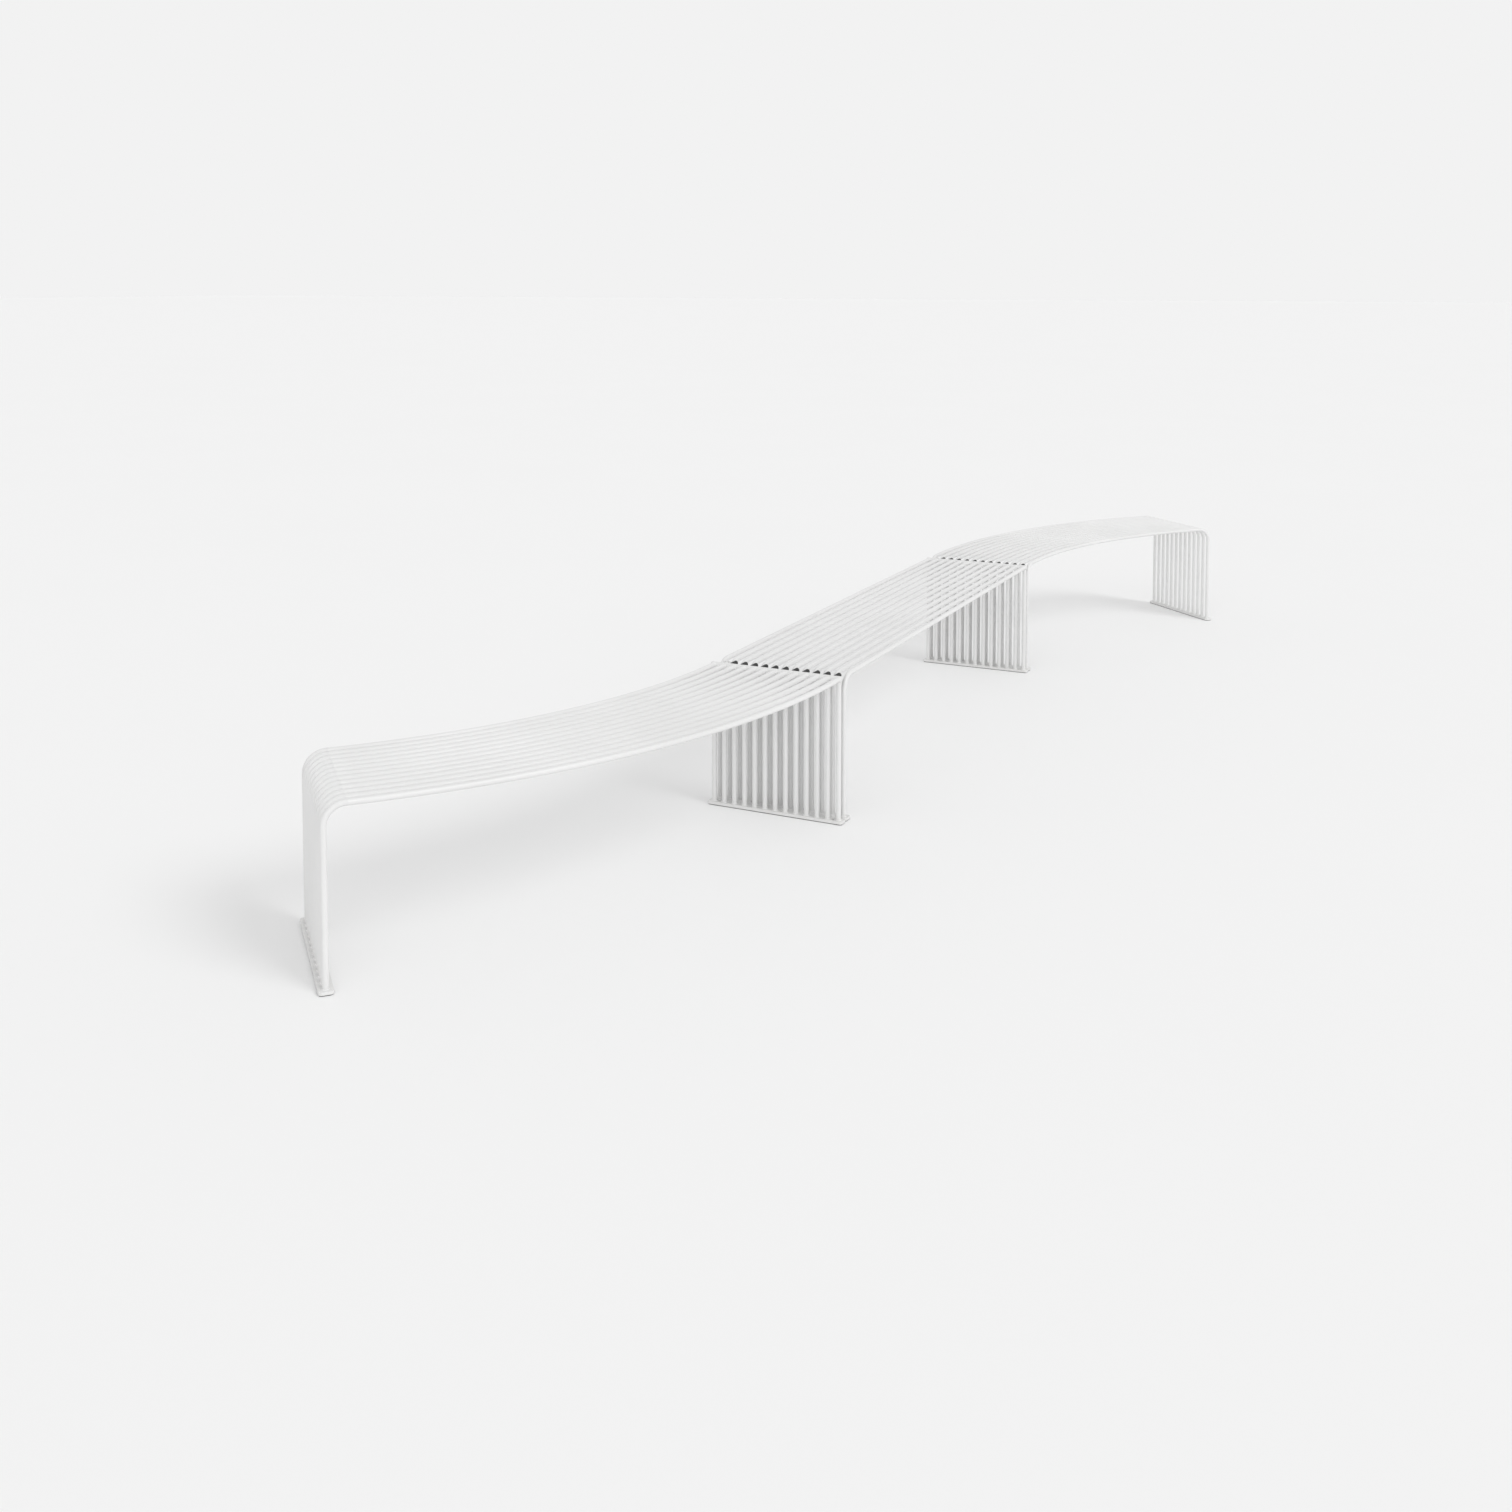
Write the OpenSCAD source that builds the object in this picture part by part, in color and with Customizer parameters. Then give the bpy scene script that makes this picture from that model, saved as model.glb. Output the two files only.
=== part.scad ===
// Garden bench made of three linked seats of parallel round bars, standing in an S.
// The left and right seats are curved and the middle seat is straight.
// X runs along the middle seat, Z is up, and the origin is on the floor under the middle of the bench.

/* [Seat] */
// Height of the top of the seat bars above the floor
seat_h = 450; // [380:1:520]
// Spacing of the seat bars across the seat, centre to centre
rail_pitch = 35; // [28:0.5:45]
// Number of seat bars in each seat
rail_count = 13; // [7:2:15]
// Diameter of a seat bar
rail_d = 16; // [12:0.5:20]
// Radius of the middle line of the bend from seat to leg
bend_r = 53; // [35:1:90]
// Length of the ground weld that joins a curved stretch to its bend
weld_l = 6; // [3:1:20]
// How much thicker the ground weld is than the bar, on the diameter
weld_extra = 0.2; // [0.1:0.1:1]

/* [Plan] */
// Distance between the two joints, along the middle seat
joint_span = 2020; // [1200:10:2600]
// Radius of the middle line of a curved seat
curve_r = 2000; // [1200:10:3000]
// Angle that a curved seat turns through
curve_a = 43; // [20:1:60]
// Gap between the foot plates of two linked seats
joint_gap = 2; // [0.5:0.5:6]

/* [Square end] */
// How much thicker the bar across a square end is than a seat bar
end_bar_extra = 2; // [0.5:0.5:6]
// How far the end bar stands past the outermost seat bars' sides
end_bar_proud = 1; // [0.5:0.5:4]
// Chamfer on the ends of the end bar
end_bar_chamfer = 1.5; // [0.5:0.5:3]

/* [Feet] */
// Thickness of a foot plate
plate_t = 8; // [5:0.5:12]
// Distance from the legs' sides to every edge of the foot plate
plate_edge = 10; // [6:0.5:20]
// Radius of the foot plate's corners
plate_corner_r = 9; // [2:0.5:12]
// Thickness of the pad under a foot plate
pad_t = 2; // [1:0.5:5]
// Distance from the edge of the pad to the edge of its plate
pad_inset = 2; // [1:0.5:6]
// Diameter of a floor anchor hole
anchor_d = 9; // [7:0.5:12]
// How much wider the hole in the pad is than the anchor hole
pad_hole_extra = 3; // [1:0.5:6]

/* [Buffers and links] */
// Gap between a buffer or link bar and the bars on both sides of it
link_gap = 2; // [1:0.5:4]
// How far a link bar reaches up behind the end bar
link_bite = 7; // [3:0.5:9]
// Length of a rubber buffer past the joint, level with the seat bars
buffer_past = 28; // [4:1:34]
// Distance from the leg centres to the lug that takes the link
lug_inset = 16; // [10:1:30]
// Thickness of the lug
lug_t = 5; // [3:0.5:8]
// Height of the lug
lug_h = 20; // [16:1:26]
// Diameter of the link screw
screw_d = 6; // [4:1:8]
// Depth of the screw in the link bar
screw_depth = 20; // [12:1:30]
// Width across the corners of the screw's hexagon head
screw_head_d = 11.5; // [8:0.5:16]
// Height of the screw's head
screw_head_h = 4; // [2:0.1:6]
// Diameter of the washer under the head
washer_d = 12.5; // [9:0.5:18]
// Thickness of the washer
washer_t = 1.6; // [1:0.1:3]
// Clearance of the screw in the lug and the washer, on the radius
screw_clearance = 0.4; // [0.2:0.1:1]
// Clearance of the screw in the link bar, on the radius
thread_clearance = 0.1; // [0.05:0.05:0.3]

/* [Hidden] */
// Segments of the small and of the very large arcs
fine = 48;
long_fine = 256;
// Overshoot of a cutting body past the faces it cuts
eps = 1;

last = rail_count - 1;
middle = last / 2;
half_seat_w = middle * rail_pitch;
rail_z = seat_h - rail_d / 2;
end_bar_d = rail_d + end_bar_extra;
plate_margin = rail_d / 2 + plate_edge;
plate_top = pad_t + plate_t;
leg_inset = plate_margin + joint_gap / 2;

// The right seat has a bend and a weld more than the left one, so the joints move back by half of that
joint_left = -(joint_span + bend_r + weld_l) / 2;
joint_right = (joint_span - bend_r - weld_l) / 2;

// Legs beside the joints: a square end to the left of each joint, a bent end to its right
left_end_x = joint_left - leg_inset;
middle_start_x = joint_left + leg_inset;
middle_end_x = joint_right - leg_inset;
right_start_x = joint_right + leg_inset;

// Anchor holes lie between the two outermost legs, and the link between the two farthest ones
anchor_y = half_seat_w - rail_pitch / 2;
link_y = half_seat_w - rail_pitch / 2;
link_d = rail_pitch - rail_d - 2 * link_gap;
link_z = rail_z - end_bar_d / 2 + link_bite - link_d / 2;

// A link bar runs from behind an end bar to a lug between two bends of the next seat
link_l = 2 * leg_inset + lug_inset;

function rail_y(i) = (i - middle) * rail_pitch;
function two_digits(i) = str(i < 10 ? "0" : "", i);
function rail_names(seat) = [for (i = [1:rail_count]) str(seat, "_rail_", two_digits(i))];

// ---- places ----

// The left seat is the right seat's curve turned half round, starting at the left joint
module left_seat_place() {
    translate([left_end_x, 0, 0])
        rotate([0, 0, 180])
            children();
}

// The right seat's curve starts a bend and a weld after its first leg
module right_seat_place() {
    translate([right_start_x + bend_r + weld_l, 0, 0])
        children();
}

// Far end of a curve that starts at the origin along +X and turns right
module at_curve_end() {
    translate([0, -curve_r, 0])
        rotate([0, 0, -curve_a])
            translate([0, curve_r, 0])
                children();
}

// Middle of the foot under the far end of a curve
module at_outer_foot() {
    at_curve_end()
        translate([weld_l + bend_r, 0, 0])
            children();
}

// ---- stretches of seat bar ----

module straight_bar(length, diameter = rail_d) {
    cylinder(h = length, d = diameter, $fn = fine);
}

// Upright of a leg, from the foot plate up to a height
module upright(top) {
    translate([0, 0, plate_top])
        straight_bar(top - plate_top);
}

// Straight bar along +X from the origin, at the height of the seat
module level_bar(length, diameter = rail_d) {
    translate([0, 0, rail_z])
        rotate([0, 90, 0])
            straight_bar(length, diameter);
}

// Bend at the origin of a bar that comes from +X, with its leg
module bent_leg() {
    translate([0, 0, rail_z - bend_r])
        rotate([90, 0, 0])
            rotate([0, 0, 90])
                rotate_extrude(angle = 90, $fn = 4 * fine)
                    translate([bend_r, 0])
                        circle(d = rail_d, $fn = fine);
    translate([-bend_r, 0, 0])
        upright(rail_z - bend_r);
}

// Curved stretch of one bar, at a distance y to the left of the seat's middle line
module curved_stretch(y) {
    translate([0, -curve_r, rail_z])
        rotate([0, 0, 90 - curve_a])
            rotate_extrude(angle = curve_a, $fn = long_fine)
                translate([curve_r + y, 0])
                    circle(d = rail_d, $fn = fine);
}

// Ground weld and bent leg at the origin, where a curve starts
module welded_leg() {
    translate([-weld_l, 0, 0]) {
        level_bar(weld_l, rail_d + weld_extra);
        bent_leg();
    }
}

// The same at the far end of a curve
module outer_leg(y) {
    at_curve_end()
        translate([0, y, 0])
            rotate([0, 0, 180])
                welded_leg();
}

// Bar across a square end, which also cuts the ends that are welded to it
module end_bar_core(length) {
    translate([0, length / 2, rail_z])
        rotate([90, 0, 0])
            straight_bar(length, end_bar_d);
}

// ---- seat bars ----

module left_rail(i) {
    color("whitesmoke")
        difference() {
            left_seat_place() {
                curved_stretch(-rail_y(i));
                outer_leg(-rail_y(i));
            }
            translate([left_end_x, 0, 0])
                end_bar_core(2 * (half_seat_w + end_bar_d));
        }
}

module middle_rail(i) {
    color("whitesmoke")
        difference() {
            translate([middle_start_x + bend_r, rail_y(i), 0]) {
                bent_leg();
                level_bar(middle_end_x - middle_start_x - bend_r);
            }
            translate([middle_end_x, 0, 0])
                end_bar_core(2 * (half_seat_w + end_bar_d));
        }
}

module right_rail(i) {
    color("whitesmoke")
        right_seat_place() {
            translate([0, rail_y(i), 0])
                welded_leg();
            curved_stretch(rail_y(i));
            outer_leg(rail_y(i));
        }
}

// ---- square ends ----

module end_bar(x) {
    half = half_seat_w + rail_d / 2 + end_bar_proud;
    r = end_bar_d / 2;
    color("whitesmoke")
        translate([x, 0, rail_z])
            rotate([90, 0, 0])
                rotate_extrude($fn = fine)
                    polygon([
                        [0, -half],
                        [r - end_bar_chamfer, -half],
                        [r, -half + end_bar_chamfer],
                        [r, half - end_bar_chamfer],
                        [r - end_bar_chamfer, half],
                        [0, half]
                    ]);
}

module end_legs(x) {
    color("whitesmoke")
        translate([x, 0, 0])
            difference() {
                for (i = [0:last])
                    translate([0, rail_y(i), 0])
                        upright(rail_z);
                end_bar_core(2 * (half_seat_w + end_bar_d));
            }
}

// ---- feet ----

module rounded_slab(length, width, thickness, corner_r) {
    linear_extrude(thickness)
        union() {
            square([width - 2 * corner_r, length], center = true);
            square([width, length - 2 * corner_r], center = true);
            for (sx = [-1, 1], sy = [-1, 1])
                translate([sx * (width / 2 - corner_r), sy * (length / 2 - corner_r)])
                    circle(r = corner_r, $fn = fine);
        }
}

module anchor_holes(diameter) {
    for (side = [-1, 1])
        translate([0, side * anchor_y, -eps])
            cylinder(h = plate_top + 2 * eps, d = diameter, $fn = fine);
}

module foot_plate() {
    color("whitesmoke")
        difference() {
            translate([0, 0, pad_t])
                rounded_slab(
                    2 * (half_seat_w + plate_margin),
                    2 * plate_margin,
                    plate_t,
                    plate_corner_r
                );
            anchor_holes(anchor_d);
        }
}

module foot_plate_at(x) {
    translate([x, 0, 0])
        foot_plate();
}

module foot_pad() {
    difference() {
        rounded_slab(
            2 * (half_seat_w + plate_margin - pad_inset),
            2 * (plate_margin - pad_inset),
            pad_t,
            max(plate_corner_r - pad_inset, pad_inset / 2)
        );
        anchor_holes(anchor_d + pad_hole_extra);
    }
}

module left_foot_outer() {
    left_seat_place()
        at_outer_foot()
            foot_plate();
}

module right_foot_outer() {
    right_seat_place()
        at_outer_foot()
            foot_plate();
}

module foot_pads() {
    color("dimgray") {
        for (x = [left_end_x, middle_start_x, middle_end_x, right_start_x])
            translate([x, 0, 0])
                foot_pad();
        left_seat_place()
            at_outer_foot()
                foot_pad();
        right_seat_place()
            at_outer_foot()
                foot_pad();
    }
}

// ---- buffers and links between the seats ----

// Starts of level bars behind the two end bars, at a distance y from the middle line and a height z
module behind_end_bars(y, z) {
    for (x = [left_end_x, middle_end_x])
        translate([x, y, z])
            rotate([0, 90, 0])
                children();
}

module at_links() {
    behind_end_bars(link_y, link_z)
        children();
}

// Takes both end bars out of what is fitted behind them
module fitted_to_end_bars() {
    difference() {
        children();
        for (x = [left_end_x, middle_end_x])
            translate([x, 0, 0])
                end_bar_core(2 * (half_seat_w + end_bar_d));
    }
}

// Rubber buffers behind an end bar, in every gap but the link's
module buffers() {
    start = end_bar_d / 4;
    color("dimgray")
        fitted_to_end_bars()
            for (i = [0:last - 2])
                behind_end_bars(rail_y(i + 0.5), rail_z)
                    translate([0, 0, start])
                        cylinder(h = leg_inset + buffer_past - start, d = link_d, $fn = fine);
}

module link_bars() {
    color("whitesmoke")
        fitted_to_end_bars()
            at_links()
                difference() {
                    cylinder(h = link_l, d = link_d, $fn = fine);
                    translate([0, 0, link_l - screw_depth - eps])
                        cylinder(h = screw_depth + 2 * eps, r = screw_d / 2 + thread_clearance, $fn = fine);
                }
}

// Lug across the gap between two bends, with the hole for the screw
module link_lugs() {
    width = rail_pitch - rail_d;
    color("whitesmoke")
        at_links()
            translate([0, 0, link_l])
                difference() {
                    translate([-lug_h / 2, -width / 2, 0])
                        cube([lug_h, width, lug_t]);
                    translate([0, 0, -eps])
                        cylinder(h = lug_t + 2 * eps, r = screw_d / 2 + screw_clearance, $fn = fine);
                }
}

// Hexagon head screw from behind the lug into the link bar
module link_screws() {
    head_at = link_l + lug_t + washer_t;
    color("silver")
        at_links() {
            translate([0, 0, link_l - screw_depth])
                cylinder(h = head_at - link_l + screw_depth, d = screw_d, $fn = fine);
            translate([0, 0, head_at])
                cylinder(h = screw_head_h, d = screw_head_d, $fn = 6);
        }
}

module link_washers() {
    color("silver")
        at_links()
            translate([0, 0, link_l + lug_t])
                difference() {
                    cylinder(h = washer_t, d = washer_d, $fn = fine);
                    translate([0, 0, -eps])
                        cylinder(h = washer_t + 2 * eps, r = screw_d / 2 + screw_clearance, $fn = fine);
                }
}

// ---- nodes ----

for (i = [0:last]) {
    left_rail(i);
    middle_rail(i);
    right_rail(i);
}
end_bar(left_end_x);  // left_end_bar
end_bar(middle_end_x);  // middle_end_bar
end_legs(left_end_x);  // left_end_legs
end_legs(middle_end_x);  // middle_end_legs
left_foot_outer();
foot_plate_at(left_end_x);  // left_foot_inner
foot_plate_at(middle_start_x);  // middle_foot_left
foot_plate_at(middle_end_x);  // middle_foot_right
foot_plate_at(right_start_x);  // right_foot_inner
right_foot_outer();
foot_pads();
buffers();
link_bars();
link_lugs();
link_screws();
link_washers();
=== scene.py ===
"""Looks of the garden bench: coated bars, ground welds, weld beads, foot plates, pads, buffers and links."""

import logging
import math
from collections.abc import Iterator
from dataclasses import dataclass
from enum import Enum

import bmesh
import bpy
from mathutils import Euler, Matrix, Vector

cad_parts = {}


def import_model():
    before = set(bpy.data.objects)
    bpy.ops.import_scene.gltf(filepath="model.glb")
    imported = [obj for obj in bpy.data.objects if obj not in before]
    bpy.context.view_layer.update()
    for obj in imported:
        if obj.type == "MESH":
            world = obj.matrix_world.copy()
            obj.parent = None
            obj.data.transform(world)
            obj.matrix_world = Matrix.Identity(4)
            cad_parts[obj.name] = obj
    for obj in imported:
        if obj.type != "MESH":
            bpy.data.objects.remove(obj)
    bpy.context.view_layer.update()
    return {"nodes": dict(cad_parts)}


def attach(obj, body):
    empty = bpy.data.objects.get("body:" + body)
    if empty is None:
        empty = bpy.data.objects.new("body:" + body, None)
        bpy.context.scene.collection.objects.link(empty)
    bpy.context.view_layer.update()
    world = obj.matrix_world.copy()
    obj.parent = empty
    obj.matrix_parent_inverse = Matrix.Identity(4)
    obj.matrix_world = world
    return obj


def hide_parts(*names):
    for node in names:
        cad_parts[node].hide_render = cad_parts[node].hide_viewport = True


LOG = logging.getLogger("bench")
SAME_PLACE = 1e-6

Colour = tuple[float, float, float]


# ---------------------------------------------------------------- finishes


class Graph:
    """A material's node tree, with short ways to add and join nodes."""

    def __init__(self, name: str) -> None:
        """Starts an empty node material.

        Args:
            name: the material's name.
        """
        self.material = bpy.data.materials.new(name)
        self.material.use_nodes = True
        self.tree = self.material.node_tree
        self.tree.nodes.clear()
        self.shader = self.add("ShaderNodeBsdfPrincipled")
        output = self.add("ShaderNodeOutputMaterial")
        self.join(self.shader.outputs["BSDF"], output.inputs["Surface"])
        self.place = self.add("ShaderNodeTexCoord").outputs["Object"]

    def add(self, kind: str, **settings: object) -> bpy.types.Node:
        """Adds a node.

        Args:
            kind: the node's type.
            **settings: values for its properties.

        Returns:
            The new node.
        """
        node = self.tree.nodes.new(kind)
        for key, value in settings.items():
            setattr(node, key, value)
        return node

    def join(self, source: bpy.types.NodeSocket, target: bpy.types.NodeSocket) -> None:
        """Links one socket to another."""
        self.tree.links.new(source, target)

    def noise(self, scale: float, detail: float = 3.0, roughness: float = 0.5) -> bpy.types.NodeSocket:
        """Adds a noise pattern on Object coordinates.

        Args:
            scale: cells per metre.
            detail: octaves.
            roughness: strength of the finer octaves.

        Returns:
            The pattern's value socket.
        """
        node = self.add("ShaderNodeTexNoise")
        self.join(self.place, node.inputs["Vector"])
        node.inputs["Scale"].default_value = scale
        node.inputs["Detail"].default_value = detail
        node.inputs["Roughness"].default_value = roughness
        return node.outputs["Fac"]

    def remap(
        self, value: bpy.types.NodeSocket, low: float, high: float, to_low: float, to_high: float
    ) -> bpy.types.NodeSocket:
        """Maps a value from one range to another, held at the ends.

        Args:
            value: socket to map.
            low: input that gives to_low.
            high: input that gives to_high.
            to_low: output at low.
            to_high: output at high.

        Returns:
            The mapped value's socket.
        """
        node = self.add("ShaderNodeMapRange")
        self.join(value, node.inputs["Value"])
        node.inputs["From Min"].default_value = low
        node.inputs["From Max"].default_value = high
        node.inputs["To Min"].default_value = to_low
        node.inputs["To Max"].default_value = to_high
        return node.outputs["Result"]

    def blend(self, amount: bpy.types.NodeSocket, first: Colour, second: Colour) -> bpy.types.NodeSocket:
        """Mixes two colours by a value.

        Args:
            amount: 0 gives the first colour, 1 the second.
            first: linear RGB.
            second: linear RGB.

        Returns:
            The mixed colour's socket.
        """
        node = self.add("ShaderNodeMix", data_type="RGBA")
        self.join(amount, node.inputs["Factor"])
        node.inputs["A"].default_value = (*first, 1.0)
        node.inputs["B"].default_value = (*second, 1.0)
        return node.outputs["Result"]

    def bump(self, layers: list[tuple[bpy.types.NodeSocket, float]]) -> None:
        """Stacks height patterns on the shader's normal.

        Args:
            layers: pairs of height socket and depth in metres.
        """
        last: bpy.types.NodeSocket | None = None
        for height, depth in layers:
            node = self.add("ShaderNodeBump")
            node.inputs["Strength"].default_value = 1.0
            node.inputs["Distance"].default_value = depth
            self.join(height, node.inputs["Height"])
            if last is not None:
                self.join(last, node.inputs["Normal"])
            last = node.outputs["Normal"]
        if last is not None:
            self.join(last, self.shader.inputs["Normal"])


@dataclass(frozen=True)
class PowderCoat:
    """Satin powder coat: fine orange peel, faint tone changes and painted shade low down, near the floor."""

    name: str
    tint: Colour = (0.745, 0.745, 0.743)
    shade: Colour = (0.715, 0.715, 0.712)
    # dust: colour of the painted shade low down near the floor
    dust: Colour = (0.64, 0.63, 0.60)
    roughness: float = 0.42
    peel: float = 0.00006
    foot_shade_height: float = 0.05
    foot_shade_amount: float = 0.30

    def build(self) -> bpy.types.Material:
        """Makes the material.

        Returns:
            The powder coat.
        """
        g = Graph(self.name)
        tone = g.remap(g.noise(3.1, 4.0), 0.35, 0.65, 0.0, 1.0)
        paint = g.blend(tone, self.tint, self.shade)
        split = g.add("ShaderNodeSeparateXYZ")
        g.join(g.place, split.inputs["Vector"])
        # painted shade: the coat darkens towards the dust colour, in patches, over the lowest few
        # centimetres, where contact shade falls by the floor
        low = g.remap(split.outputs["Z"], 0.004, self.foot_shade_height, self.foot_shade_amount, 0.0)
        patch = g.remap(g.noise(46.0, 5.0, 0.6), 0.38, 0.66, 0.25, 1.0)
        amount = g.add("ShaderNodeMath", operation="MULTIPLY")
        g.join(low, amount.inputs[0])
        g.join(patch, amount.inputs[1])
        foot_shaded = g.add("ShaderNodeMix", data_type="RGBA")
        g.join(amount.outputs["Value"], foot_shaded.inputs["Factor"])
        g.join(paint, foot_shaded.inputs["A"])
        foot_shaded.inputs["B"].default_value = (*self.dust, 1.0)
        g.join(foot_shaded.outputs["Result"], g.shader.inputs["Base Color"])
        gloss = g.remap(g.noise(22.0, 3.0), 0.3, 0.7, self.roughness - 0.05, self.roughness + 0.07)
        g.join(gloss, g.shader.inputs["Roughness"])
        g.shader.inputs["IOR"].default_value = 1.5
        g.shader.inputs["Coat Weight"].default_value = 0.12
        g.shader.inputs["Coat Roughness"].default_value = 0.25
        g.bump([(g.noise(420.0, 2.0), self.peel), (g.noise(1700.0, 2.0), self.peel * 0.25)])
        return g.material


@dataclass(frozen=True)
class Rubber:
    """Moulded black rubber with a fine grain and pale dust."""

    name: str
    tint: Colour = (0.022, 0.022, 0.023)
    dust: Colour = (0.085, 0.083, 0.08)

    def build(self) -> bpy.types.Material:
        """Makes the material.

        Returns:
            The rubber.
        """
        g = Graph(self.name)
        speck = g.remap(g.noise(160.0, 4.0, 0.65), 0.48, 0.72, 0.0, 1.0)
        g.join(g.blend(speck, self.tint, self.dust), g.shader.inputs["Base Color"])
        rough = g.remap(g.noise(90.0), 0.3, 0.7, 0.68, 0.86)
        g.join(rough, g.shader.inputs["Roughness"])
        g.bump([(g.noise(900.0, 2.0), 0.00008)])
        return g.material


@dataclass(frozen=True)
class TurnedSteel:
    """Stainless steel with fine turning marks about each screw."""

    name: str
    tint: Colour = (0.58, 0.58, 0.57)
    stain: Colour = (0.43, 0.42, 0.40)

    def build(self) -> bpy.types.Material:
        """Makes the material.

        Returns:
            The steel.
        """
        g = Graph(self.name)
        patch = g.remap(g.noise(240.0, 3.0), 0.42, 0.7, 0.0, 0.7)
        g.join(g.blend(patch, self.tint, self.stain), g.shader.inputs["Base Color"])
        g.shader.inputs["Metallic"].default_value = 1.0
        rough = g.remap(g.noise(600.0, 4.0, 0.7), 0.3, 0.7, 0.24, 0.42)
        g.join(rough, g.shader.inputs["Roughness"])
        g.bump([(g.noise(2600.0, 2.0), 0.00003)])
        return g.material


@dataclass(frozen=True)
class Studio:
    """Seamless pale ground, a shade lighter or darker in broad soft patches."""

    name: str
    tint: Colour = (0.893, 0.893, 0.893)
    shade: Colour = (0.890, 0.890, 0.890)

    def build(self) -> bpy.types.Material:
        """Makes the material.

        Returns:
            The ground.
        """
        g = Graph(self.name)
        tone = g.remap(g.noise(0.6), 0.35, 0.65, 0.0, 1.0)
        g.join(g.blend(tone, self.tint, self.shade), g.shader.inputs["Base Color"])
        g.shader.inputs["Roughness"].default_value = 0.9
        return g.material


class Slot(Enum):
    """The record's material slots."""

    COAT = "white_powder_coat"
    RUBBER = "black_rubber"
    SCREW = "stainless_screw"


# ---------------------------------------------------------------- mesh tools


def to_object(
    bm: bmesh.types.BMesh, name: str, material: bpy.types.Material, smooth: float = 40.0
) -> bpy.types.Object:
    """Turns a finished bmesh into an object at the origin.

    Args:
        bm: the mesh, which is freed.
        name: the object's name.
        material: its finish.
        smooth: faces that meet at less than this many degrees shade smoothly.

    Returns:
        The new object.
    """
    bmesh.ops.remove_doubles(bm, verts=bm.verts, dist=SAME_PLACE)
    bmesh.ops.recalc_face_normals(bm, faces=bm.faces)
    for face in bm.faces:
        face.smooth = True
    limit = math.radians(smooth)
    for edge in bm.edges:
        edge.smooth = len(edge.link_faces) == 2 and edge.calc_face_angle(math.pi) < limit
    mesh = bpy.data.meshes.new(name)
    bm.to_mesh(mesh)
    bm.free()
    mesh.materials.append(material)
    piece = bpy.data.objects.new(name, mesh)
    bpy.context.scene.collection.objects.link(piece)
    return piece


def cut(piece: bpy.types.Object, cutter: bpy.types.Object) -> None:
    """Takes one piece's shape out of another and removes the cutter.

    Args:
        piece: the piece that gets the hole.
        cutter: the closed shape to take away.
    """
    step = piece.modifiers.new("hole", "BOOLEAN")
    step.operation = "DIFFERENCE"
    step.solver = "EXACT"
    step.object = cutter
    bpy.context.view_layer.update()
    whole = piece.evaluated_get(bpy.context.evaluated_depsgraph_get())
    mesh = bpy.data.meshes.new_from_object(whole)
    piece.modifiers.clear()
    old = piece.data
    piece.data = mesh
    bpy.data.meshes.remove(old)
    bpy.data.objects.remove(cutter)


def soften(bm: bmesh.types.BMesh, edges: list[bmesh.types.BMEdge], radius: float, steps: int) -> None:
    """Rounds edges.

    Args:
        bm: the mesh.
        edges: the edges to round.
        radius: their rounding.
        steps: faces across each.
    """
    bmesh.ops.bevel(
        bm,
        geom=edges,
        offset=radius,
        offset_type="OFFSET",
        affect="EDGES",
        segments=steps,
        profile=0.5,
        material=-1,
    )


def slab(size: Vector, corner: float, edge: float, place: Matrix) -> bmesh.types.BMesh:
    """Makes a flat slab with round corners and softened edges.

    Args:
        size: length along X, Y and Z.
        corner: radius of its upright corners, or 0 for square ones.
        edge: radius of all its other edges.
        place: where its middle goes.

    Returns:
        The slab.
    """
    bm = bmesh.new()
    bmesh.ops.create_cube(bm, size=1.0, matrix=Matrix.Diagonal((*size, 1.0)))
    if corner > 0.0:
        upright = [e for e in bm.edges if abs((e.verts[0].co - e.verts[1].co).z) > size.z * 0.5]
        soften(bm, upright, corner, 10)
    rims = [e for e in bm.edges if len(e.link_faces) == 2 and e.calc_face_angle() > math.radians(60)]
    soften(bm, rims, edge, 3)
    bmesh.ops.transform(bm, matrix=place, verts=bm.verts)
    return bm


def turned(profile: list[tuple[float, float]], sides: int, place: Matrix) -> bmesh.types.BMesh:
    """Turns a profile about Z.

    Args:
        profile: pairs of radius and height.
        sides: steps round the axis.
        place: where the axis goes.

    Returns:
        The turned shape.
    """
    bm = bmesh.new()
    points = [bmesh.ops.create_vert(bm, co=(r, 0.0, z))["vert"][0] for r, z in profile]
    lines = [bm.edges.new(pair) for pair in zip(points, points[1:])]
    bmesh.ops.spin(
        bm,
        geom=points + lines,
        cent=(0, 0, 0),
        axis=(0, 0, 1),
        dvec=(0, 0, 0),
        angle=math.tau,
        steps=sides,
        use_merge=True,
    )
    bmesh.ops.remove_doubles(bm, verts=bm.verts, dist=SAME_PLACE)
    bmesh.ops.recalc_face_normals(bm, faces=bm.faces)
    bmesh.ops.transform(bm, matrix=place, verts=bm.verts)
    return bm


def join_into(target: bmesh.types.BMesh, part: bmesh.types.BMesh) -> None:
    """Adds one bmesh to another and frees it.

    Args:
        target: mesh that grows.
        part: mesh to add.
    """
    mesh = bpy.data.meshes.new("part")
    part.to_mesh(mesh)
    part.free()
    target.from_mesh(mesh)
    bpy.data.meshes.remove(mesh)


# ---------------------------------------------------------------- setting out


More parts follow.
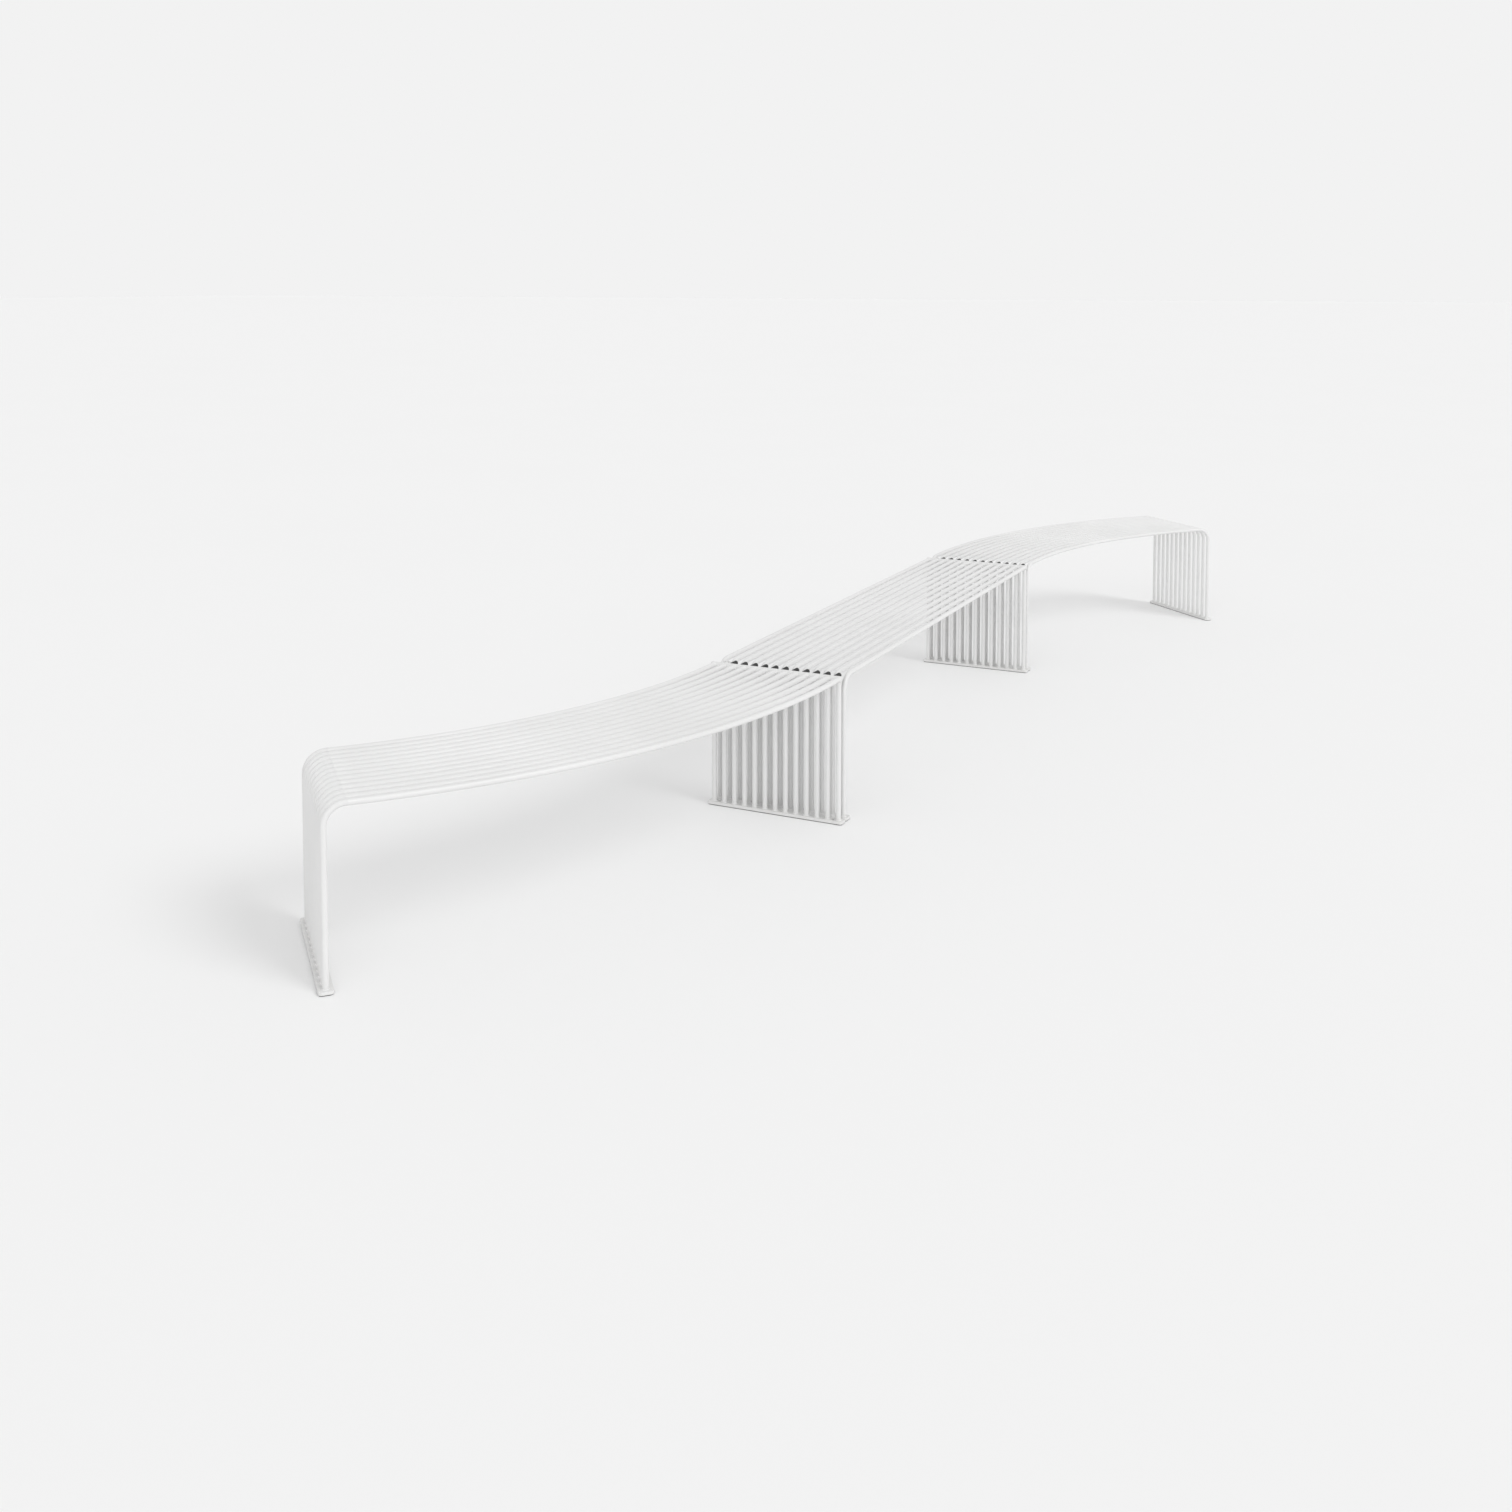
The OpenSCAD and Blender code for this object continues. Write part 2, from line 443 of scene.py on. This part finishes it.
@dataclass
class Plan:
    """The bench's setting out, in metres, with the middle of its footprint at the origin."""

    seat_h: float = 0.450
    pitch: float = 0.035
    count: int = 13
    bar_d: float = 0.016
    bend_r: float = 0.053
    weld_l: float = 0.006
    weld_extra: float = 0.0002
    joint_span: float = 2.020
    curve_r: float = 2.000
    curve_a: float = math.radians(43.0)
    joint_gap: float = 0.002
    plate_margin: float = 0.018
    plate_t: float = 0.008
    pad_t: float = 0.002
    end_bar_d: float = 0.018

    def __post_init__(self) -> None:
        """Works out the heights and the places of the leg rows."""
        self.bar_z = self.seat_h - self.bar_d / 2
        self.plate_top = self.pad_t + self.plate_t
        self.half = (self.count - 1) / 2 * self.pitch
        inset = self.plate_margin + self.joint_gap / 2
        extra = self.bend_r + self.weld_l
        left = -(self.joint_span + extra) / 2
        right = (self.joint_span - extra) / 2
        self.left_end = left - inset
        self.middle_start = left + inset
        self.middle_end = right - inset
        self.right_start = right + inset

    def bars(self) -> Iterator[tuple[int, float]]:
        """Yields each bar's number, from 1 on the near side, and its distance from the middle line."""
        for i in range(self.count):
            yield i + 1, (i - (self.count - 1) / 2) * self.pitch

    def left_seat(self) -> Matrix:
        """Place of the left seat's curve."""
        return Matrix.Translation((self.left_end, 0, 0)) @ Matrix.Rotation(math.pi, 4, "Z")

    def right_seat(self) -> Matrix:
        """Place of the right seat's curve."""
        return Matrix.Translation((self.right_start + self.bend_r + self.weld_l, 0, 0))

    def curve_end(self) -> Matrix:
        """Far end of a curve that starts at the origin along +X and turns right.

        Returns:
            The end's place.
        """
        out = Matrix.Translation((0, -self.curve_r, 0))
        back = Matrix.Translation((0, self.curve_r, 0))
        return out @ Matrix.Rotation(-self.curve_a, 4, "Z") @ back

    def outer_foot(self) -> Matrix:
        """Middle of the foot under the far end of a curve."""
        return self.curve_end() @ Matrix.Translation((self.weld_l + self.bend_r, 0, 0))

    def square_feet(self) -> dict[str, Matrix]:
        """Places of the feet beside the joints, by CAD node."""
        return {
            "left_foot_inner": Matrix.Translation((self.left_end, 0, 0)),
            "middle_foot_left": Matrix.Translation((self.middle_start, 0, 0)),
            "middle_foot_right": Matrix.Translation((self.middle_end, 0, 0)),
            "right_foot_inner": Matrix.Translation((self.right_start, 0, 0)),
        }

    def feet(self) -> dict[str, Matrix]:
        """Places of all the feet, by CAD node."""
        return {
            "left_foot_outer": self.left_seat() @ self.outer_foot(),
            **self.square_feet(),
            "right_foot_outer": self.right_seat() @ self.outer_foot(),
        }


# ---------------------------------------------------------------- round bars


class Bar:
    """A round bar that is swept along straight runs and bends."""

    def __init__(self, diameter: float, start: Matrix, sides: int = 32) -> None:
        """Starts a bar with an open ring.

        Args:
            diameter: the bar's diameter.
            start: the bar's start, where its local +Z is the way it heads.
            sides: faces round the bar.
        """
        self.bm = bmesh.new()
        self.tip = start.copy()
        self.radius = diameter / 2
        made = bmesh.ops.create_circle(
            self.bm, cap_ends=False, segments=sides, radius=self.radius, matrix=start
        )
        self.first = list(made["verts"])
        self.ring = list(self.bm.edges)

    def ring_verts(self) -> list[bmesh.types.BMVert]:
        """Vertices of the bar's open end."""
        return list({v for e in self.ring for v in e.verts})

    def run(self, length: float, steps: int = 1) -> "Bar":
        """Adds a straight run.

        Args:
            length: its length.
            steps: rings of faces along it.

        Returns:
            The bar.
        """
        for _ in range(steps):
            made = bmesh.ops.extrude_edge_only(self.bm, edges=self.ring)["geom"]
            self.ring = [g for g in made if isinstance(g, bmesh.types.BMEdge)]
            ahead = Matrix.Translation((0, 0, length / steps))
            shift = (self.tip @ ahead).translation - self.tip.translation
            bmesh.ops.translate(self.bm, vec=shift, verts=self.ring_verts())
            self.tip = self.tip @ ahead
        return self

    def step(self, change: float) -> "Bar":
        """Adds a small step in diameter, sloped over its own height.

        Args:
            change: how much the diameter grows.

        Returns:
            The bar.
        """
        self.run(abs(change))
        wider = (self.radius + change / 2) / self.radius
        about = self.tip.inverted()
        bmesh.ops.scale(self.bm, vec=(wider, wider, 1.0), space=about, verts=self.ring_verts())
        self.radius += change / 2
        return self

    def turn(self, radius: float, angle: float, side: Vector, steps: int) -> "Bar":
        """Adds a bend.

        Args:
            radius: radius of the bar's middle line.
            angle: how far it turns.
            side: direction from the bar to the bend's centre.
            steps: rings of faces along it.

        Returns:
            The bar.
        """
        heading = (self.tip.to_3x3() @ Vector((0, 0, 1))).normalized()
        centre = self.tip.translation + side.normalized() * radius
        axis = heading.cross(side).normalized()
        made = bmesh.ops.spin(
            self.bm,
            geom=self.ring,
            cent=centre,
            axis=axis,
            dvec=(0, 0, 0),
            angle=angle,
            steps=steps,
            use_duplicate=False,
        )
        self.ring = [g for g in made["geom_last"] if isinstance(g, bmesh.types.BMEdge)]
        about = Matrix.Translation(centre)
        self.tip = about @ Matrix.Rotation(angle, 4, axis) @ about.inverted() @ self.tip
        return self

    def weld(self, length: float, extra: float) -> "Bar":
        """Adds a ground weld: a band that is a little thicker than the bar.

        Args:
            length: the band's length.
            extra: how much its diameter grows.

        Returns:
            The bar.
        """
        return self.step(extra).run(length - 2 * extra).step(-extra)


ALONG = Matrix.Rotation(math.radians(90), 4, "Y")


def saddle(
    verts: list[bmesh.types.BMVert], axis_x: float, axis_z: float, radius: float, along: str, toward: float
) -> None:
    """Moves a bar's end ring onto the surface of a bar that lies along Y.

    Args:
        verts: the ring.
        axis_x: X of the other bar's axis.
        axis_z: Z of the other bar's axis.
        radius: the other bar's radius.
        along: "x" or "z", the way in which the vertices move.
        toward: +1 or -1, the side of the other bar that they rest on.
    """
    for v in verts:
        if along == "x":
            off = min(abs(v.co.z - axis_z), radius)
            v.co.x = axis_x + toward * math.sqrt(radius * radius - off * off)
        else:
            off = min(abs(v.co.x - axis_x), radius)
            v.co.z = axis_z + toward * math.sqrt(radius * radius - off * off)


@dataclass
class SeatBars:
    """The three seats' long round bars, with the legs that they bend into."""

    plan: Plan
    coat: bpy.types.Material
    bend_steps: int = 14
    curve_steps: int = 56

    def from_foot(self, foot: Matrix) -> Bar:
        """Starts a bar at its foot, runs it up and bends it level.

        Args:
            foot: place on the floor, with +X the way in which the bar bends.

        Returns:
            The bar.
        """
        p = self.plan
        bar = Bar(p.bar_d, foot @ Matrix.Translation((0, 0, p.plate_top)))
        bar.run(p.bar_z - p.bend_r - p.plate_top, 2)
        side = foot.to_3x3() @ Vector((1, 0, 0))
        return bar.turn(p.bend_r, math.pi / 2, side, self.bend_steps)

    def to_foot(self, bar: Bar) -> Bar:
        """Bends a level bar down and runs it to its foot.

        Args:
            bar: the bar so far.

        Returns:
            The bar.
        """
        p = self.plan
        bar.turn(p.bend_r, math.pi / 2, Vector((0, 0, -1)), self.bend_steps)
        return bar.run(p.bar_z - p.bend_r - p.plate_top, 2)

    def curve(self, bar: Bar, y: float, seat: Matrix) -> Bar:
        """Adds the curved stretch of one bar, and the weld at its far end.

        Args:
            bar: the bar so far.
            y: distance to the left of the seat's middle line.
            seat: place of the seat's curve.

        Returns:
            The bar.
        """
        p = self.plan
        side = seat.to_3x3() @ Vector((0, -1, 0))
        bar.turn(p.curve_r + y, p.curve_a, side, self.curve_steps)
        return bar.weld(p.weld_l, p.weld_extra)

    def left(self, y: float) -> Bar:
        """Makes one bar of the left seat, from the square end to the outer foot.

        Args:
            y: distance from the middle line.

        Returns:
            The bar.
        """
        p = self.plan
        seat = p.left_seat()
        bar = Bar(p.bar_d, seat @ Matrix.Translation((0, -y, p.bar_z)) @ ALONG)
        first = bar.first
        self.to_foot(self.curve(bar, -y, seat))
        saddle(first, p.left_end, p.bar_z, p.end_bar_d / 2, "x", -1.0)
        return bar

    def middle(self, y: float) -> Bar:
        """Makes one bar of the middle seat, from its foot to the square end.

        Args:
            y: distance from the middle line.

        Returns:
            The bar.
        """
        p = self.plan
        bar = self.from_foot(Matrix.Translation((p.middle_start, y, 0)))
        bar.run(p.middle_end - p.middle_start - p.bend_r, 24)
        saddle(bar.ring_verts(), p.middle_end, p.bar_z, p.end_bar_d / 2, "x", -1.0)
        return bar

    def right(self, y: float) -> Bar:
        """Makes one bar of the right seat, from its inner to its outer foot.

        Args:
            y: distance from the middle line.

        Returns:
            The bar.
        """
        p = self.plan
        bar = self.from_foot(Matrix.Translation((p.right_start, y, 0)))
        bar.weld(p.weld_l, p.weld_extra)
        return self.to_foot(self.curve(bar, y, p.right_seat()))

    def build(self) -> Iterator[bpy.types.Object]:
        """Yields every seat bar, each standing for its CAD node."""
        for seat, make in (("left", self.left), ("middle", self.middle), ("right", self.right)):
            for number, y in self.plan.bars():
                piece = to_object(make(y).bm, f"{seat}_bar_{number:02d}", self.coat, 60.0)
                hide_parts(f"{seat}_rail_{number:02d}")
                yield piece


@dataclass
class SquareEnd:
    """A square end: the bar across the seat and the row of legs under it."""

    plan: Plan
    coat: bpy.types.Material
    seat: str
    x: float
    past: float = 0.009
    rounding: float = 0.0015
    corner_steps: int = 4
    half_steps: int = 8
    sides: int = 40

    def end_bar(self) -> bpy.types.Object:
        """Makes the bar across the seat, with softened ends.

        Returns:
            The end bar.
        """
        p = self.plan
        r = p.end_bar_d / 2
        half = p.half + self.past
        c = self.rounding
        turns = [k * math.pi / 2 / self.corner_steps for k in range(self.corner_steps + 1)]
        corner = [(r - c + c * math.sin(t), half - c + c * math.cos(t)) for t in turns]
        upper = [(0.0, half), *corner]
        last = self.half_steps - 1
        inner = [(r, half * k / self.half_steps) for k in range(last, -last - 1, -1)]
        lower = [(radius, -height) for radius, height in reversed(upper)]
        place = Matrix.Translation((self.x, 0, p.bar_z)) @ Matrix.Rotation(math.radians(90), 4, "X")
        bm = turned([*upper, *inner, *lower], self.sides, place)
        piece = to_object(bm, f"{self.seat}_square_end_bar", self.coat, 50.0)
        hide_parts(f"{self.seat}_end_bar")
        return piece

    def legs(self) -> bpy.types.Object:
        """Makes the row of legs, each fitted to the bar above it.

        Returns:
            The legs, as one piece.
        """
        p = self.plan
        row = bmesh.new()
        for _, y in p.bars():
            leg = Bar(p.bar_d, Matrix.Translation((self.x, y, p.plate_top)))
            leg.run(p.bar_z - p.plate_top, 4)
            saddle(leg.ring_verts(), self.x, p.bar_z, p.end_bar_d / 2, "z", -1.0)
            join_into(row, leg.bm)
        piece = to_object(row, f"{self.seat}_square_end_legs", self.coat, 60.0)
        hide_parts(f"{self.seat}_end_legs")
        return piece

    def build(self) -> Iterator[bpy.types.Object]:
        """Yields the end bar and the legs."""
        yield self.end_bar()
        yield self.legs()


# ---------------------------------------------------------------- welds


@dataclass
class Bead:
    """A small weld bead in the corner between a round bar and what it meets."""

    leg: float = 0.0024
    bulge: float = 0.35
    sides: int = 44
    ripples: int = 15
    ripple: float = 0.00016
    tuck: float = 0.0006

    def ring(self, radius: float, place: Matrix, phase: float) -> bmesh.types.BMesh:
        """Makes one bead round a bar.

        Args:
            radius: the bar's radius.
            place: the corner's centre, with the bar along local +Z.
            phase: where its ripples start, so that no two beads are alike.

        Returns:
            The bead.
        """
        size = self.leg
        profile = [(radius - self.tuck, size)]
        for k in range(5):
            t = k / 4
            out = 4 * self.bulge * t * (1 - t) * size * 0.5
            profile.append((radius + size * t + out * 0.7, size * (1 - t) + out * 0.7))
        profile.append((radius + size, -self.tuck))
        bm = turned(profile, self.sides, Matrix.Identity(4))
        for v in bm.verts:
            angle = math.atan2(v.co.y, v.co.x)
            wave = math.sin(angle * self.ripples + phase) + 0.5 * math.sin(angle * 3 + 2.1 * phase)
            reach = Vector((v.co.x, v.co.y, 0)).length
            if reach > radius:
                push = 1 + self.ripple * wave / reach
                v.co.x *= push
                v.co.y *= push
                v.co.z += self.ripple * 0.6 * wave * (v.co.z > 0.0003)
        bmesh.ops.transform(bm, matrix=place, verts=bm.verts)
        return bm


@dataclass
class Welds:
    """All the bench's visible weld beads, a group for each foot and each square end."""

    plan: Plan
    coat: bpy.types.Material
    foot_bead: Bead
    bar_bead: Bead

    def foot_row(self, name: str, foot: Matrix) -> bpy.types.Object:
        """Makes the beads round the legs of one foot.

        Args:
            name: the foot's CAD node.
            foot: its place.

        Returns:
            The beads.
        """
        p = self.plan
        row = bmesh.new()
        for number, y in p.bars():
            place = foot @ Matrix.Translation((0, y, p.plate_top))
            join_into(row, self.foot_bead.ring(p.bar_d / 2, place, 1.7 * number))
        return to_object(row, f"{name}_welds", self.coat, 80.0)

    def end_row(self, seat: str, x: float) -> bpy.types.Object:
        """Makes the beads where a square end's seat bars and legs meet its end bar.

        Args:
            seat: the seat's name.
            x: place of the end bar.

        Returns:
            The beads.
        """
        p = self.plan
        row = bmesh.new()
        r = p.end_bar_d / 2
        for number, y in p.bars():
            flat = Matrix.Translation((x, y, p.bar_z))
            beads = (
                (Matrix.Rotation(math.radians(-90), 4, "Y"), 0.9 * number, "x"),
                (Matrix.Rotation(math.radians(180), 4, "X"), 2.3 * number, "z"),
            )
            for turn, phase, along in beads:
                bead = self.bar_bead.ring(p.bar_d / 2, turn, phase)
                for v in bead.verts:
                    off = v.co.z if along == "x" else v.co.x
                    reach = -math.sqrt(max(r * r - min(abs(off), r * 0.93) ** 2, 0.0))
                    if along == "x":
                        v.co.x += reach
                    else:
                        v.co.z += reach
                bmesh.ops.transform(bead, matrix=flat, verts=bead.verts)
                join_into(row, bead)
        return to_object(row, f"{seat}_end_bar_welds", self.coat, 80.0)

    def build(self) -> Iterator[bpy.types.Object]:
        """Yields every group of beads."""
        p = self.plan
        for name, foot in p.feet().items():
            yield self.foot_row(name, foot)
        yield self.end_row("left", p.left_end)
        yield self.end_row("middle", p.middle_end)


# ---------------------------------------------------------------- flat parts


@dataclass
class Feet:
    """The foot plates, with their anchor holes."""

    plan: Plan
    coat: bpy.types.Material
    corner: float = 0.009
    edge: float = 0.0010
    hole_d: float = 0.009
    hole_edge: float = 0.0005

    def hole(self, place: Matrix) -> bmesh.types.BMesh:
        """Makes the cutter of one anchor hole, flared where it meets the faces.

        Args:
            place: the hole's place on the floor.

        Returns:
            The cutter.
        """
        p = self.plan
        r = self.hole_d / 2
        c = self.hole_edge
        t = p.plate_t
        over = 0.002
        profile = [
            (0.0, -over),
            (r + c + over, -over),
            (r, c),
            (r, t - c),
            (r + c + over, t + over),
            (0.0, t + over),
        ]
        return turned(profile, 32, place @ Matrix.Translation((0, 0, p.pad_t)))

    def plate(self, node: str, foot: Matrix) -> bpy.types.Object:
        """Makes one foot plate.

        Args:
            node: the CAD node that it stands for.
            foot: its place.

        Returns:
            The plate.
        """
        p = self.plan
        size = Vector((2 * p.plate_margin, 2 * (p.half + p.plate_margin), p.plate_t))
        middle = foot @ Matrix.Translation((0, 0, p.pad_t + p.plate_t / 2))
        piece = to_object(slab(size, self.corner, self.edge, middle), f"{node}_plate", self.coat, 30.0)
        for side in (-1, 1):
            place = foot @ Matrix.Translation((0, side * (p.half - p.pitch / 2), 0))
            cut(piece, to_object(self.hole(place), "cutter", self.coat))
        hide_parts(node)
        return piece

    def build(self) -> Iterator[bpy.types.Object]:
        """Yields the six foot plates."""
        for node, foot in self.plan.feet().items():
            yield self.plate(node, foot)


@dataclass
class Joints:
    """Rubber buffers and link bars behind the two end bars, with the lugs that take the links."""

    plan: Plan
    coat: bpy.types.Material
    rubber: bpy.types.Material
    gap: float = 0.002
    bite: float = 0.007
    buffer_past: float = 0.028
    lug_inset: float = 0.016
    lug_t: float = 0.005
    lug_h: float = 0.020
    edge: float = 0.0008
    buffer_rounding: float = 0.0022
    link_rounding: float = 0.0006
    sides: int = 28
    rings: int = 6

    def __post_init__(self) -> None:
        """Works out the diameter, and the links' place and length."""
        p = self.plan
        self.inset = p.plate_margin + p.joint_gap / 2
        self.diameter = p.pitch - p.bar_d - 2 * self.gap
        self.link_z = p.bar_z - p.end_bar_d / 2 + self.bite - self.diameter / 2
        self.link_y = p.half - p.pitch / 2
        self.link_l = 2 * self.inset + self.lug_inset

    def fitted(self, start: Vector, length: float, rounding: float) -> bmesh.types.BMesh:
        """Makes a short round bar fitted to the back of an end bar.

        Args:
            start: the bar's own start, on or under the end bar's middle line.
            length: distance from there to the bar's free end.
            rounding: softening of its free end.

        Returns:
            The bar.
        """
        p = self.plan
        bar = Bar(self.diameter, Matrix.Translation(start) @ ALONG, self.sides)
        bar.run(length, self.rings)
        saddle(bar.first, start.x, p.bar_z, p.end_bar_d / 2, "x", 1.0)
        under_end_bar = [v for v in bar.first if v.co.z < p.bar_z - p.end_bar_d / 2]
        for v in under_end_bar:
            v.co.x = start.x + p.end_bar_d / 4
        saddle_edges = [e for e in bar.bm.edges if e.is_boundary and e.verts[0] in bar.first]
        bmesh.ops.contextual_create(bar.bm, geom=saddle_edges)
        made = bmesh.ops.contextual_create(bar.bm, geom=bar.ring)
        rim = [e for face in made["faces"] for e in face.edges]
        soften(bar.bm, rim, rounding, 4)
        return bar.bm

    def buffers(self) -> bpy.types.Object:
        """Makes the rubber buffers, one in every gap but the link's.

        Returns:
            The buffers, as one piece.
        """
        p = self.plan
        row = bmesh.new()
        for x in (p.left_end, p.middle_end):
            for _, y in list(p.bars())[:-2]:
                start = Vector((x, y + p.pitch / 2, p.bar_z))
                join_into(row, self.fitted(start, self.inset + self.buffer_past, self.buffer_rounding))
        piece = to_object(row, "joint_buffers", self.rubber, 50.0)
        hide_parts("buffers")
        return piece

    def bars(self) -> bpy.types.Object:
        """Makes both link bars.

        Returns:
            The link bars, as one piece.
        """
        p = self.plan
        pair = bmesh.new()
        for x in (p.left_end, p.middle_end):
            start = Vector((x, self.link_y, self.link_z))
            join_into(pair, self.fitted(start, self.link_l, self.link_rounding))
        piece = to_object(pair, "link_bar_pair", self.coat, 50.0)
        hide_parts("link_bars")
        return piece

    def lugs(self) -> bpy.types.Object:
        """Makes the lugs between the bends.

        Returns:
            The lugs, as one piece.
        """
        p = self.plan
        pair = bmesh.new()
        size = Vector((self.lug_t, p.pitch - p.bar_d, self.lug_h))
        for x in (p.left_end, p.middle_end):
            middle = Matrix.Translation((x + self.link_l + self.lug_t / 2, self.link_y, self.link_z))
            join_into(pair, slab(size, 0.0, self.edge, middle))
        piece = to_object(pair, "link_lug_pair", self.coat, 30.0)
        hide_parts("link_lugs")
        return piece

    def build(self) -> Iterator[bpy.types.Object]:
        """Yields the buffers, the link bars and the lugs."""
        yield self.buffers()
        yield self.bars()
        yield self.lugs()


# ---------------------------------------------------------------- studio


@dataclass
class View:
    """The camera, placed by a solved view of the bench."""

    place: tuple[float, float, float] = (-5.33883, -1.98019, 1.64137)
    heading: float = math.radians(25.55)
    pitch: float = math.radians(-3.56)
    sensor: float = 36.0
    lens: float = 37.142
    shift_y: float = -0.25096
    sees_to: float = 400.0

    def build(self) -> None:
        """Makes the camera and gives it to the scene."""
        camera = bpy.data.cameras.new("camera")
        camera.sensor_width = self.sensor
        camera.lens = self.lens
        camera.shift_y = self.shift_y
        camera.clip_end = self.sees_to
        body = bpy.data.objects.new("camera", camera)
        body.location = self.place
        body.rotation_euler = Euler((math.pi / 2 + self.pitch, 0.0, self.heading - math.pi / 2))
        bpy.context.scene.collection.objects.link(body)
        bpy.context.scene.camera = body


@dataclass(frozen=True)
class Lamp:
    """A far lamp: its strength, how wide it looks, and where it stands."""

    name: str
    energy: float
    width: float
    stands_at: tuple[float, float, float]

    def build(self) -> None:
        """Adds the lamp to the scene, turned towards the bench."""
        lamp = bpy.data.lights.new(self.name, "SUN")
        lamp.energy = self.energy
        lamp.angle = self.width
        holder = bpy.data.objects.new(self.name, lamp)
        holder.rotation_euler = Vector(self.stands_at).to_track_quat("Z", "Y").to_euler()
        bpy.context.scene.collection.objects.link(holder)


@dataclass
class StudioLight:
    """A soft key lamp from the right, a low wide fill, and even light from all round."""

    floor_reach: float = 120.0
    surround: float = 0.888
    overhead: float = 0.65
    even_below: float = 0.35
    key: Lamp = Lamp("key", 0.95, math.radians(26.0), (-0.16, -0.98, 0.80))
    fill: Lamp = Lamp("fill", 0.55, math.radians(70.0), (-0.97, -0.24, 0.22))

    def surroundings(self) -> bpy.types.World:
        """Makes the light from all round, even near the horizon and weaker overhead.

        Returns:
            The world.
        """
        world = bpy.data.worlds.new("studio")
        world.use_nodes = True
        tree = world.node_tree
        split = tree.nodes.new("ShaderNodeSeparateXYZ")
        tree.links.new(tree.nodes.new("ShaderNodeTexCoord").outputs["Generated"], split.inputs["Vector"])
        fall = tree.nodes.new("ShaderNodeMapRange")
        tree.links.new(split.outputs["Z"], fall.inputs["Value"])
        fall.inputs["From Min"].default_value = self.even_below
        fall.inputs["To Min"].default_value = self.surround
        fall.inputs["To Max"].default_value = self.overhead
        tree.links.new(fall.outputs["Result"], tree.nodes["Background"].inputs["Strength"])
        tree.nodes["Background"].inputs["Color"].default_value = (1.0, 1.0, 1.0, 1.0)
        return world

    def build(self, ground: bpy.types.Material) -> None:
        """Makes the floor, both lamps and the surrounding light.

        Args:
            ground: the floor's finish.
        """
        bm = bmesh.new()
        bmesh.ops.create_grid(bm, x_segments=8, y_segments=8, size=self.floor_reach)
        floor = to_object(bm, "floor", ground)
        self.key.build()
        self.fill.build()
        bpy.context.scene.world = self.surroundings()
        bpy.context.scene.view_settings.view_transform = "Standard"


def dress(node: bpy.types.Object, material: bpy.types.Material) -> None:
    """Gives a CAD node its finish.

    Args:
        node: the node.
        material: its finish.
    """
    for place in node.material_slots:
        place.link = "OBJECT"
        place.material = material


def main() -> None:
    """Builds the bench round the CAD frame."""
    logging.basicConfig(level=logging.INFO, format="%(name)s: %(message)s")
    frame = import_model()
    coat = PowderCoat("white_coat").build()
    rubber = Rubber("black_rubber").build()
    plan = Plan()
    makers = (
        SeatBars(plan, coat),
        SquareEnd(plan, coat, "left", plan.left_end),
        SquareEnd(plan, coat, "middle", plan.middle_end),
        Welds(plan, coat, Bead(), Bead(leg=0.0020)),
        Feet(plan, coat),
        Joints(plan, coat, rubber),
    )
    for maker in makers:
        for piece in maker.build():
            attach(piece, "root")
            LOG.info("%s: %d faces", piece.name, len(piece.data.polygons))
    dress(frame["nodes"]["foot_pads"], rubber)
    steel = TurnedSteel("screw_steel").build()
    for name in ("link_screws", "link_washers"):
        dress(frame["nodes"][name], steel)
    View().build()
    StudioLight().build(Studio("pale_ground").build())


if __name__ == "__main__":
    main()
